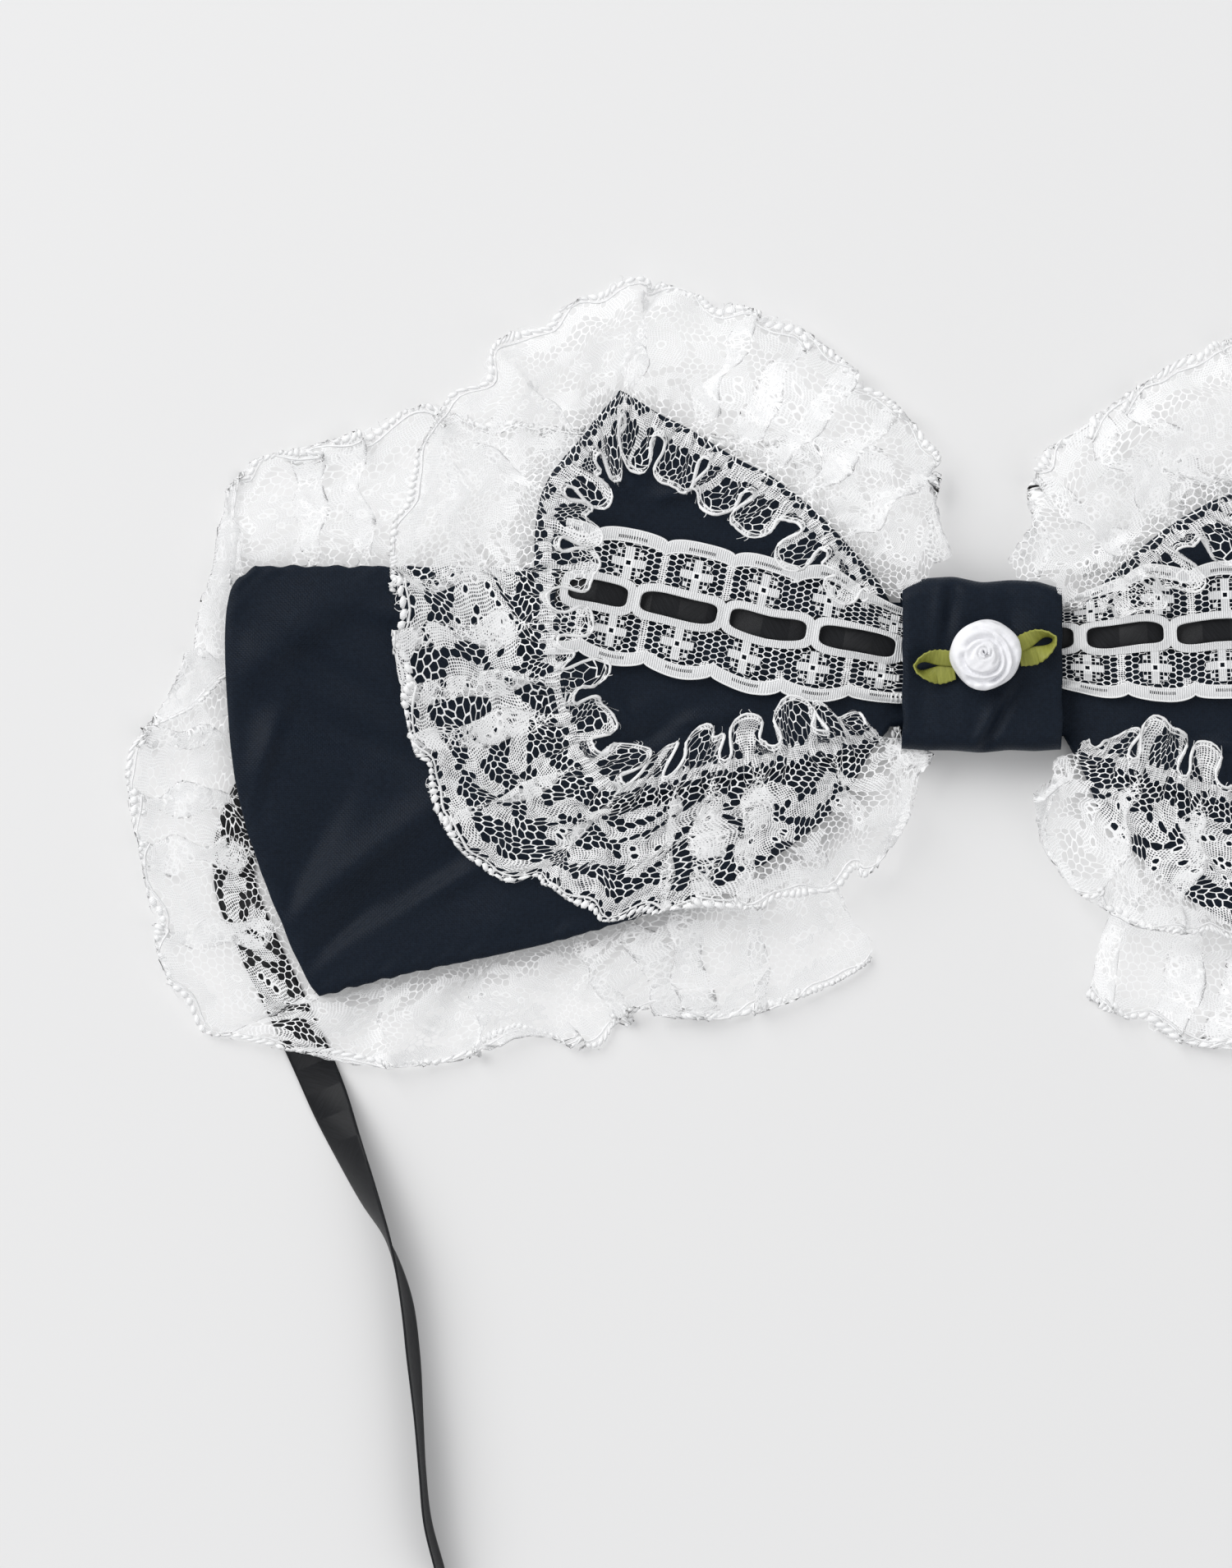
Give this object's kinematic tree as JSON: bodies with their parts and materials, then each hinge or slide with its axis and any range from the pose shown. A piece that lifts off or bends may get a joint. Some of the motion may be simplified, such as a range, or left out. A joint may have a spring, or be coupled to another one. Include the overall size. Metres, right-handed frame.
{
  "type": "bow headdress with lace ruffles and tie ribbons",
  "caption": "Wide layered fabric bow headdress edged with gathered lace, with a ribbon-threaded lace strip, a wrapped knot with a ribbon rose, and tie ribbons.",
  "frame": {"origin": "middle of the knot's flat back, on the surface that the headdress lies on", "axes": "+X along the bow, +Y towards its upper edge, +Z from the back to the front, up from the surface"},
  "size_m": [0.372, 0.2977, 0.0181],
  "materials": {
    "black_cotton": "matte fine plain weave",
    "white_lace": "matte knitted lace",
    "black_satin": "satin",
    "white_satin": "soft satin",
    "green_satin": "satin"
  },
  "bodies": {
    "root": {"base_panel": "black_cotton", "bow_panel": "black_cotton", "ladder_lace": "white_lace", "insertion_ribbon": "black_satin", "knot_band": "black_cotton", "ribbon_rose": "white_satin", "leaf_left": "green_satin", "leaf_right": "green_satin", "base_ruffle_left": "white_lace", "base_ruffle_right": "white_lace", "bow_ruffle_left": "white_lace", "bow_ruffle_right": "white_lace", "tie_ribbon_left": "black_satin", "tie_ribbon_right": "black_satin"}
  },
  "joints": []
}
